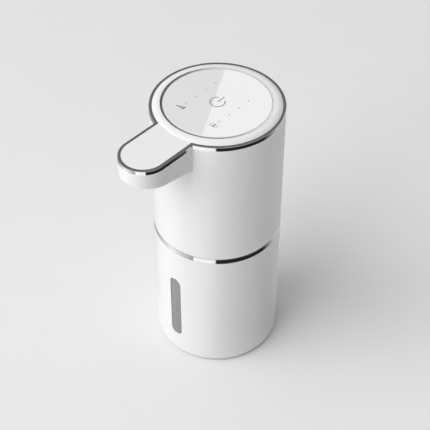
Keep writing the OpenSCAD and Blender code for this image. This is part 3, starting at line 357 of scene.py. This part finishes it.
def bright_trim(name, clean, marked, polish, smudged):
    finish, tree, shader = blank_finish(name, Metallic=1.0)
    marks = grouped(tree, HANDLING_MARKS, Clean=polish, Smudged=smudged, Size=70.0)
    feed_all(tree, shader, {
        "Base Color": mix_colours(tree, marks["Mask"], opaque(*clean), opaque(*marked)),
        "Roughness": marks["Roughness"]})
    return finish


def gloss_panel():
    finish, tree, shader = blank_finish("gloss_panel", Coat_Weight=1.0, Coat_Roughness=0.012, Coat_IOR=1.8,
                                        IOR=1.45)
    skin = grouped(tree, MOULDED_GRAIN, Colour=grey(0.83), Shade=0.008)
    marks = grouped(tree, HANDLING_MARKS, Clean=0.48, Smudged=0.54, Size=40.0)
    feed_all(tree, shader, {"Base Color": skin["Colour"], "Roughness": marks["Roughness"]})
    return finish


def clear_finish(name, colour, rough, see_through):
    finish, tree, shader = blank_finish(name, Transmission_Weight=see_through, IOR=1.49)
    skin = grouped(tree, MOULDED_GRAIN, Colour=opaque(*colour), Shade=0.05, Rough=rough, Spread=0.06,
                   Grain=900.0)
    feed_all(tree, shader, {"Base Color": skin["Colour"], "Roughness": skin["Roughness"]})
    return finish


def drawn_steel():
    finish, tree, shader = blank_finish("drawn_steel", Metallic=1.0)
    lines = grouped(tree, DRAWN_LINES, Rough=0.32, Spread=0.25, Lines=5000.0)
    tone = ramp(tree, lines["Height"], NOISE_SPAN)
    feed_all(tree, shader, {
        "Base Color": mix_colours(tree, tone, opaque(0.50, 0.50, 0.51), opaque(0.64, 0.64, 0.65)),
        "Roughness": lines["Roughness"],
        "Normal": bumped(tree, lines["Height"], strength=0.1, depth_mm=0.02)})
    return finish


def wound_copper():
    finish, tree, shader = blank_finish("wound_copper", Metallic=1.0)
    wound = {"Vector": object_coords(tree), "Scale": 900.0, "Distortion": 0.6, "Detail": 1.0}
    wave = put(tree, "ShaderNodeTexWave", wound, bands_direction="Z").outputs["Fac"]
    feed_all(tree, shader, {
        "Base Color": mix_colours(tree, wave, opaque(0.28, 0.11, 0.05), opaque(0.75, 0.36, 0.20)),
        "Roughness": ramp(tree, wave, FULL_SPAN, (0.45, 0.28)),
        "Normal": bumped(tree, wave, strength=0.5, depth_mm=0.2)})
    return finish


def printed_board():
    finish, tree, shader = blank_finish("printed_board", Coat_Weight=0.4, Coat_Roughness=0.15)
    coords = object_coords(tree)
    laid = {"Vector": coords, "Scale": 260.0, "Mortar Size": 0.05, "Mortar Smooth": 0.1, "Brick Width": 1.7,
            "Row Height": 0.45}
    tracks = put(tree, "ShaderNodeTexBrick", laid).outputs["Fac"]
    patches = noise(tree, coords, scale=120.0, detail=1.0)
    there = math_node(tree, "GREATER_THAN", patches, BOARD_TRACKS)
    lines = math_node(tree, "MULTIPLY", tracks, there)
    feed_all(tree, shader, {
        "Base Color": mix_colours(tree, lines, opaque(0.010, 0.085, 0.035), opaque(0.045, 0.22, 0.09)),
        "Roughness": ramp(tree, lines, FULL_SPAN, (0.42, 0.32)),
        "Normal": bumped(tree, lines, strength=0.3, depth_mm=0.04)})
    return finish


def amber_ribbon():
    finish, tree, shader = blank_finish("amber_ribbon")
    striped = {"Vector": object_coords(tree), "Scale": 320.0, "Detail": 0.0}
    wave = put(tree, "ShaderNodeTexWave", striped, bands_direction="X").outputs["Fac"]
    tracks = math_node(tree, "GREATER_THAN", wave, RIBBON_TRACKS)
    feed_all(tree, shader, {
        "Base Color": mix_colours(tree, tracks, opaque(0.42, 0.19, 0.04), opaque(0.62, 0.36, 0.14)),
        "Roughness": ramp(tree, tracks, FULL_SPAN, (0.3, 0.4)),
        "Normal": bumped(tree, tracks, strength=0.3, depth_mm=0.03)})
    return finish


def wrapped_cell():
    finish, tree, shader = blank_finish("wrapped_cell")
    coords = object_coords(tree)
    low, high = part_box("battery_cell")
    height = apart(tree, coords)["Z"]
    crown = math_node(tree, "GREATER_THAN", height, high.z - CELL_CROWN * MM)
    heel = math_node(tree, "LESS_THAN", height, low.z + CELL_HEEL * MM)
    bare = math_node(tree, "MAXIMUM", crown, heel)
    shrink = noise(tree, stretched(tree, coords, z_scale=0.15), scale=400.0, detail=3.0)
    tone = ramp(tree, shrink, NOISE_SPAN)
    sleeve = mix_colours(tree, tone, opaque(0.035, 0.13, 0.30), opaque(0.055, 0.18, 0.38))
    feed_all(tree, shader, {
        "Base Color": mix_colours(tree, bare, sleeve, grey(0.62)),
        "Metallic": bare,
        "Roughness": ramp(tree, shrink, SHRINK_SPAN, (0.28, 0.42)),
        "Normal": bumped(tree, shrink, strength=0.1, depth_mm=0.05)})
    return finish


def lead_finish(name, node):
    finish, tree, shader = blank_finish(name, Roughness=0.45)
    low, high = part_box(node)
    pair = grouped(tree, LEAD_PAIR, Split=(low.x + high.x) / 2)
    feed_all(tree, shader, {
        "Base Color": pair["Colour"],
        "Normal": bumped(tree, pair["Height"], strength=0.2, depth_mm=0.04)})
    return finish


GRIP_RUBBER = moulded("grey_grip_rubber", (0.20, 0.20, 0.205), rough=0.75, spread=0.15, shade=0.15,
                      grain=1500.0, bump=0.4)
RIM_METAL = bright_trim("dark_bright_rim", (0.36, 0.36, 0.365), (0.33, 0.33, 0.335), polish=0.27,
                        smudged=0.31)

FINISHES = (
    (moulded("satin_white_plastic", (0.85, 0.85, 0.85), rough=0.38, spread=0.06, shade=0.012,
             grain=2600.0, bump=0.08, IOR=1.49),
     ("tank_sleeve", "upper_shell", "top_cover", "nozzle_body")),
    (bright_trim("bright_trim", (0.80, 0.80, 0.805), (0.74, 0.74, 0.745), polish=0.05, smudged=0.10),
     ("mid_band", "top_trim")),
    (RIM_METAL, ("panel_rim",)),
    (gloss_panel(), ("touch_panel",)),
    (clear_finish("smoked_window", (0.34, 0.34, 0.345), rough=0.22, see_through=0.25), ("window_lens",)),
    (clear_finish("milky_bottle", (0.86, 0.87, 0.88), rough=0.34, see_through=0.5), ("tank_bottle",)),
    (clear_finish("clear_acrylic", (0.92, 0.94, 0.95), rough=0.08, see_through=1.0), ("light_guides",)),
    (GRIP_RUBBER, ("base_pad",)),
    (moulded("black_seal_rubber", (0.02, 0.02, 0.021), rough=0.62, spread=0.15, shade=0.2,
             grain=1600.0, bump=0.3),
     ("neck_seal", "shaft_seal")),
    (moulded("pale_silicone", (0.78, 0.78, 0.78), rough=0.55, spread=0.1, shade=0.04,
             grain=1800.0, bump=0.12),
     ("outlet_hose", "nozzle_valve", "panel_gasket", "port_tab", "port_cover")),
    (moulded("natural_inner_plastic", (0.74, 0.75, 0.77), rough=0.48, spread=0.1, shade=0.06,
             grain=1400.0, bump=0.15),
     ("drive_deck", "pump_body", "pump_cover", "panel_carrier", "motor_endcap", "intake_tube",
      "intake_filter", "board_connectors")),
    (moulded("ivory_gear_plastic", (0.78, 0.75, 0.66), rough=0.4, spread=0.12, shade=0.05,
             grain=1700.0, bump=0.15),
     ("pump_drive_gear", "pump_idler_gear")),
    (moulded("slate_cradle_plastic", (0.09, 0.10, 0.12), rough=0.45, spread=0.12, shade=0.1,
             grain=1800.0, bump=0.2),
     ("battery_cradle",)),
    (moulded("black_moulding", (0.018, 0.018, 0.019), rough=0.42, spread=0.15, shade=0.15,
             grain=3000.0, bump=0.2),
     ("board_chips", "socket_tongue", "switch_plunger", "switch_base")),
    (moulded("dark_sensor_gloss", (0.012, 0.006, 0.008), rough=0.16, spread=0.05, shade=0.2,
             grain=900.0, bump=0.02, Coat_Weight=1.0, Coat_Roughness=0.04),
     ("sensor_lens", "sensor_diodes")),
    (moulded("lamp_resin", (0.82, 0.80, 0.66), rough=0.3, spread=0.08, shade=0.08,
             grain=2500.0, bump=0.05),
     ("status_lamps",)),
    (drawn_steel(),
     ("deck_screws", "pump_screws", "idler_pin", "motor_can", "motor_screws", "cradle_screws", "board_screws",
      "charger_screws", "charging_socket", "motor_shaft", "battery_tabs")),
    (moulded("dark_ferrite", (0.055, 0.055, 0.06), rough=0.6, spread=0.2, shade=0.35,
             grain=2200.0, bump=0.35),
     ("motor_magnets",)),
    (wound_copper(), ("motor_armature", "motor_terminals")),
    (printed_board(), ("control_board", "sensor_board", "charging_board")),
    (amber_ribbon(), ("sensor_ribbon",)),
    (wrapped_cell(), ("battery_cell",)),
    (lead_finish("motor_lead_pair", "motor_leads"), ("motor_leads",)),
    (lead_finish("battery_lead_pair", "battery_leads"), ("battery_leads",)),
    (lead_finish("charge_lead_pair", "charge_leads"), ("charge_leads",)),
)
for finish, nodes in FINISHES:
    for name in nodes:
        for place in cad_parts[name].material_slots:
            place.material = finish


# Inks of the printed signs
def panel_ink(name, colour):
    return moulded(name, colour, rough=0.42, spread=0.1, shade=0.12, grain=4000.0, bump=0.02)


GREY_INK = panel_ink("grey_panel_ink", (0.30, 0.30, 0.305))
DARK_INK = panel_ink("dark_panel_ink", (0.06, 0.06, 0.063))
PALE_INK = panel_ink("pale_panel_ink", (0.40, 0.40, 0.405))


# Geometry trees for the printed signs
def shape_tree(name, inputs):
    tree = bpy.data.node_groups.new(name, "GeometryNodeTree")
    tree.interface.new_socket("Geometry", in_out="INPUT", socket_type="NodeSocketGeometry")
    for label, kind in inputs:
        tree.interface.new_socket(label, in_out="INPUT", socket_type=kind)
    tree.interface.new_socket("Geometry", in_out="OUTPUT", socket_type="NodeSocketGeometry")
    return tree, put(tree, "NodeGroupInput").outputs, put(tree, "NodeGroupOutput").inputs


def end_tree(tree, given, result, geometry):
    real = put(tree, "GeometryNodeRealizeInstances", {0: geometry})
    inked = put(tree, "GeometryNodeSetMaterial", {"Geometry": real.outputs[0], "Material": given["Ink"]})
    feed(tree, result[0], inked.outputs[0])


def build_printed_lines():
    tree, given, result = shape_tree("printed_lines", (
        ("Line Width", "NodeSocketFloat"), ("Thickness", "NodeSocketFloat"), ("Ink", "NodeSocketMaterial")))
    path = put(tree, "GeometryNodeMeshToCurve", {"Mesh": given["Geometry"]})
    level = put(tree, "GeometryNodeSetCurveNormal", {0: path.outputs[0]}, mode="Z_UP")
    section = put(tree, "GeometryNodeCurvePrimitiveQuadrilateral", {
        "Width": given["Line Width"], "Height": given["Thickness"]})
    swept = put(tree, "GeometryNodeCurveToMesh", {
        "Curve": level.outputs[0], "Profile Curve": section.outputs[0], "Fill Caps": True})
    end_tree(tree, given, result, swept.outputs[0])
    return tree


def build_printed_dots():
    tree, given, result = shape_tree("printed_dots", (
        ("Span", "NodeSocketFloat"), ("Columns", "NodeSocketInt"), ("Rows", "NodeSocketInt"),
        ("Dot Radius", "NodeSocketFloat"), ("Thickness", "NodeSocketFloat"), ("Height", "NodeSocketFloat"),
        ("Ink", "NodeSocketMaterial")))
    grid = put(tree, "GeometryNodeMeshGrid", {
        "Size X": given["Span"], "Size Y": given["Span"], "Vertices X": given["Columns"],
        "Vertices Y": given["Rows"]})
    lifted = put(tree, "GeometryNodeTransform", {
        "Geometry": grid.outputs["Mesh"], "Translation": combined(tree, Z=given["Height"])})
    dot = put(tree, "GeometryNodeMeshCylinder", {
        "Vertices": DOT_SIDES, "Radius": given["Dot Radius"], "Depth": given["Thickness"]})
    spread = put(tree, "GeometryNodeInstanceOnPoints", {
        "Points": lifted.outputs[0], "Instance": dot.outputs["Mesh"]})
    end_tree(tree, given, result, spread.outputs[0])
    return tree


def build_level_bars():
    tree, given, result = shape_tree("level_bars", (
        ("Count", "NodeSocketInt"), ("Pitch", "NodeSocketFloat"), ("Bar Width", "NodeSocketFloat"),
        ("First Height", "NodeSocketFloat"), ("Step", "NodeSocketFloat"), ("Thickness", "NodeSocketFloat"),
        ("Start", "NodeSocketVector"), ("Ink", "NodeSocketMaterial")))
    shift = combined(tree, X=given["Pitch"])
    row = put(tree, "GeometryNodeMeshLine", {
        "Count": given["Count"], "Start Location": given["Start"], "Offset": shift}, mode="OFFSET")
    index = put(tree, "GeometryNodeInputIndex").outputs[0]
    tall = math_node(tree, "MULTIPLY_ADD", index, given["Step"], given["First Height"])
    stood = put(tree, "GeometryNodeSetPosition", {
        "Geometry": row.outputs[0], "Offset": combined(tree, Y=math_node(tree, "MULTIPLY", tall, 0.5))})
    bar = put(tree, "GeometryNodeMeshCube", {"Size": (1.0, 1.0, 1.0)})
    spread = put(tree, "GeometryNodeInstanceOnPoints", {
        "Points": stood.outputs[0], "Instance": bar.outputs["Mesh"],
        "Scale": combined(tree, X=given["Bar Width"], Y=tall, Z=given["Thickness"])})
    end_tree(tree, given, result, spread.outputs[0])
    return tree


def grow(name, tree, sizes, points, edges):
    seed = bpy.data.meshes.new(name + "_seed")
    seed.from_pydata(points, edges, ())
    maker = add(name + "_maker", seed)
    grower = maker.modifiers.new("grow", "NODES")
    grower.node_group = tree
    for socket in tree.interface.items_tree:
        if socket.in_out == "INPUT" and socket.name in sizes:
            grower[socket.identifier] = sizes[socket.name]
    grown = bpy.data.meshes.new_from_object(maker.evaluated_get(bpy.context.evaluated_depsgraph_get()))
    maker.modifiers.remove(grower)
    bpy.data.objects.remove(maker)
    bpy.data.meshes.remove(seed)
    return add(name, grown)


# Sign outlines on the panel, each an open path
def joined(paths):
    points, edges = [], []
    for path in paths:
        first = len(points)
        points += [(x * MM, y * MM, INK_MIDDLE * MM) for x, y in path]
        edges += [(first + i, first + i + 1) for i in range(len(path) - 1)]
    return points, edges


def power_sign():
    turn = 360.0 - 2 * POWER_GAP
    angles = [math.radians(90.0 + POWER_GAP + turn * i / POWER_STEPS) for i in range(POWER_STEPS + 1)]
    ring = [(POWER_R * math.cos(a), POWER_R * math.sin(a)) for a in angles]
    return [ring, [(0.0, 0.0), (0.0, POWER_BAR)]]


def charge_outline():
    x, y = CELL_AT
    end_r = CELL_SIGN_H / 2
    flat = CELL_SIGN_W / 2 - end_r
    angles = [math.radians(90.0 - 180.0 * i / SIGN_STEPS) for i in range(SIGN_STEPS + 1)]
    halves = []
    for side in (1, -1):
        bend = [(x + side * (flat + end_r * math.cos(a)), y + end_r * math.sin(a)) for a in angles]
        inner = x + side * CELL_SIGN_GAP
        halves.append([(inner, y + end_r), *bend, (inner, y - end_r)])
    return halves


def charge_bolt():
    x, y = CELL_AT
    tall, lean, notch = CELL_SIGN_H / 2, BOLT_LEAN, BOLT_NOTCH
    return [[(x + lean, y + tall), (x - lean, y - notch), (x + lean, y + notch), (x - lean, y - tall)]]


def printed(name, tree, sizes, paths=()):
    points, edges = joined(paths)
    piece = grow(name, tree, {"Thickness": INK_LIFT * MM, **sizes}, points, edges)
    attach(piece, "panel")


LINES = build_printed_lines()
for name, paths, width, ink in (("power_sign", power_sign(), LINE_W, GREY_INK),
                                ("charge_outline", charge_outline(), CELL_LINE_W, PALE_INK),
                                ("charge_bolt", charge_bolt(), BOLT_W, GREY_INK)):
    printed(name, LINES, {"Line Width": width * MM, "Ink": ink}, paths)
printed("lamp_dots", build_printed_dots(), {
    "Span": DOT_SPAN * MM, "Columns": DOT_COLUMNS, "Rows": DOT_ROWS, "Dot Radius": DOT_D / 2 * MM,
    "Height": INK_MIDDLE * MM, "Ink": PALE_INK})
level_start = (LEVEL_AT[0] - LEVEL_PITCH * (LEVEL_COUNT - 1) / 2, LEVEL_AT[1] - LEVEL_DROP, INK_MIDDLE)
printed("level_sign", build_level_bars(), {
    "Count": LEVEL_COUNT, "Pitch": LEVEL_PITCH * MM, "Bar Width": LEVEL_BAR_W * MM,
    "First Height": LEVEL_FIRST * MM, "Step": LEVEL_STEP * MM, "Start": [v * MM for v in level_start],
    "Ink": DARK_INK})


# Turned pieces: an outline of radius and height, in millimetres, that runs anticlockwise
def turned(name, outline, finish, body, node):
    shape = bmesh.new()
    angles = [math.tau * i / TURNS for i in range(TURNS)]
    rings = [[shape.verts.new((r * MM * math.cos(a), r * MM * math.sin(a), z * MM)) for r, z in outline]
             for a in angles]
    for ring, following in zip(rings, rings[1:] + rings[:1]):
        for i in range(len(outline)):
            j = (i + 1) % len(outline)
            shape.faces.new((ring[i], following[i], following[j], ring[j]))
    bmesh.ops.remove_doubles(shape, verts=shape.verts, dist=MERGE_GAP * MM)
    mesh = bpy.data.meshes.new(name)
    shape.to_mesh(mesh)
    shape.free()
    mesh.shade_smooth()
    mesh.set_sharp_from_angle(angle=math.radians(SHARP_ANGLE))
    mesh.materials.append(finish)
    piece = add(name, mesh)
    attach(piece, body)
    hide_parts(node)
    return piece


def grip_pad():
    outline = [(0.0, 0.0)]
    half = GROOVE_W / 2
    floor_half = half * GROOVE_TAPER
    for r in GROOVE_RADII:
        outline += [(r - half, 0.0), (r - floor_half, GROOVE_DEPTH),
                    (r + floor_half, GROOVE_DEPTH), (r + half, 0.0)]
    outline += [(PAD_R - PAD_EDGE, 0.0), (PAD_R, PAD_EDGE), (PAD_R, PAD_TOP - PAD_EDGE),
                (PAD_R - PAD_EDGE, PAD_TOP), (0.0, PAD_TOP)]
    turned("grip_pad", outline, GRIP_RUBBER, "tank", "base_pad")


def sloped_rim():
    low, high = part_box("panel_rim")
    outer, foot, top = high.x / MM, low.z / MM, high.z / MM + RIM_RISE
    outline = [(outer - RIM_W, foot), (outer, foot), (outer, top), (outer - RIM_W, top - RIM_DROP)]
    return turned("sloped_rim", outline, RIM_METAL, "head", "panel_rim")


grip_pad()
SLOPED_RIM = sloped_rim()


# Floor, cards, lamps and camera
def stage_mesh(name, points, faces, finish):
    shape = bpy.data.meshes.new(name)
    shape.from_pydata(points, (), faces)
    shape.materials.append(finish)
    made = add(name, shape)
    return made


def hide_from(made, *rays):
    for ray in rays:
        setattr(made, "visible_" + ray, False)


def floor():
    half = FLOOR_HALF
    corners = [(-half, -half, 0.0), (half, -half, 0.0), (half, half, 0.0), (-half, half, 0.0)]
    stage_mesh("floor", corners, [(0, 1, 2, 3)], moulded(
        "pale_floor", FLOOR_COLOUR, rough=0.8, spread=0.05, shade=0.01, grain=300.0, bump=0.0,
        Specular_IOR_Level=0.1))


def room():
    world = bpy.data.worlds.new("studio_room")
    world.use_nodes = True
    tree = world.node_tree
    tree.nodes.clear()
    way = put(tree, "ShaderNodeTexCoord").outputs["Generated"]
    height = ramp(tree, apart(tree, way)["Z"], ROOM_RISE)
    turn = math.radians(CAMERA_AZIMUTH)
    to_camera = (math.cos(turn), math.sin(turn), 0.0)
    facing = put(tree, "ShaderNodeVectorMath", {0: way, 1: to_camera}, operation="DOT_PRODUCT")
    front = ramp(tree, facing.outputs["Value"], FRONT_FADE)
    mirrored = mix_colours(tree, height, ROOM_PALE, mix_colours(tree, front, ROOM_DARK, ROOM_FRONT))
    fill = mix_colours(tree, height, FILL_FRONT, mix_colours(tree, front, FILL_BACK, FILL_FRONT))
    path = put(tree, "ShaderNodeLightPath").outputs
    unseen = mix_colours(tree, path["Is Glossy Ray"], fill, mirrored)
    seen = math_node(tree, "MAXIMUM", path["Is Camera Ray"], path["Is Transmission Ray"])
    glow = put(tree, "ShaderNodeBackground", {"Color": mix_colours(tree, seen, unseen, BACKDROP)})
    put(tree, "ShaderNodeOutputWorld", {"Surface": glow.outputs[0]})
    bpy.context.scene.world = world


def cards_finish():
    finish, tree = new_finish("trim_cards")
    place = apart(tree, object_coords(tree))
    turn = math_node(tree, "ARCTAN2", place["Y"], place["X"])
    along = put(tree, "ShaderNodeValToRGB", {0: ramp(tree, turn, (-math.pi, math.pi))})
    stops = along.color_ramp.elements
    stops.remove(stops[-1])
    for i, (angle, glow) in enumerate(CARDS):
        at = (angle + 180.0) / 360.0
        stop = stops[0] if i == 0 else stops.new(at)
        stop.position = at
        stop.color = grey(glow)
    shine = put(tree, "ShaderNodeEmission", {"Color": along.outputs[0]})
    put(tree, "ShaderNodeOutputMaterial", {"Surface": shine.outputs[0]})
    return finish


def trim_cards():
    turns = [math.tau * i / CARDS_TURNS for i in range(CARDS_TURNS)]
    points = [(r * math.cos(a), r * math.sin(a), CARDS_LIFT) for r in (CARDS_NEAR, CARDS_FAR) for a in turns]
    faces = []
    for i in range(CARDS_TURNS):
        j = (i + 1) % CARDS_TURNS
        faces.append((i, i + CARDS_TURNS, j + CARDS_TURNS, j))
    made = stage_mesh("trim_cards", points, faces, cards_finish())
    made.rotation_euler.z = math.radians(CAMERA_AZIMUTH)
    hide_from(made, *ALL_BUT_GLOSSY, "shadow")


def area_lamp(name, place, width, depth, power):
    data = bpy.data.lights.new(name, "AREA")
    data.shape = "RECTANGLE"
    data.size, data.size_y = width, depth
    data.energy = power
    made = add(name, data)
    made.location = place
    return made


def aim(made, way):
    made.rotation_euler = Vector(way).to_track_quat("-Z", "Y").to_euler()


def key_lamp():
    turn = math.radians(CAMERA_AZIMUTH - KEY_LEFT)
    rise = math.radians(KEY_HEIGHT)
    way = Vector((math.cos(turn) * math.cos(rise), math.sin(turn) * math.cos(rise), math.sin(rise)))
    place = Vector((0.0, 0.0, KEY_AIM)) + way * KEY_REACH
    made = area_lamp("key_lamp", place, KEY_WIDTH, KEY_WIDTH, KEY_POWER)
    aim(made, -way)
    hide_from(made, "glossy")


def glossy_card(name, edge, overrun, width, glow, receiver):
    far, near = (Vector((x, y, CARD_Z)) for x, y in edge)
    along = (far - near).normalized()
    across = Vector((along.y, -along.x, 0.0))
    depth = (far - near).length + 2 * overrun
    middle = (far + near) / 2 + across * width / 2
    made = area_lamp(name, middle, width, depth, glow * math.pi * width * depth)
    made.rotation_euler.z = math.atan2(across.y, across.x)
    hide_from(made, *ALL_BUT_GLOSSY)
    lit = bpy.data.collections.new(name + "_receivers")
    lit.objects.link(receiver)
    made.light_linking.receiver_collection = lit


def photo_camera():
    data = bpy.data.cameras.new("photo_camera")
    data.lens = LENS_MM
    data.sensor_width = SENSOR_MM
    made = add("photo_camera", data)
    made.location = CAMERA_AT
    aim(made, CAMERA_LOOK)
    bpy.context.scene.camera = made


floor()
room()
trim_cards()
key_lamp()
glossy_card("sheen_card", SHEEN_EDGE, SHEEN_OVERRUN, SHEEN_WIDTH, SHEEN_GLOW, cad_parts["touch_panel"])
glossy_card("rim_card", RIM_EDGE, RIM_OVERRUN, RIM_CARD_WIDTH, RIM_GLOW, SLOPED_RIM)
photo_camera()
bpy.context.scene.view_settings.view_transform = "Standard"
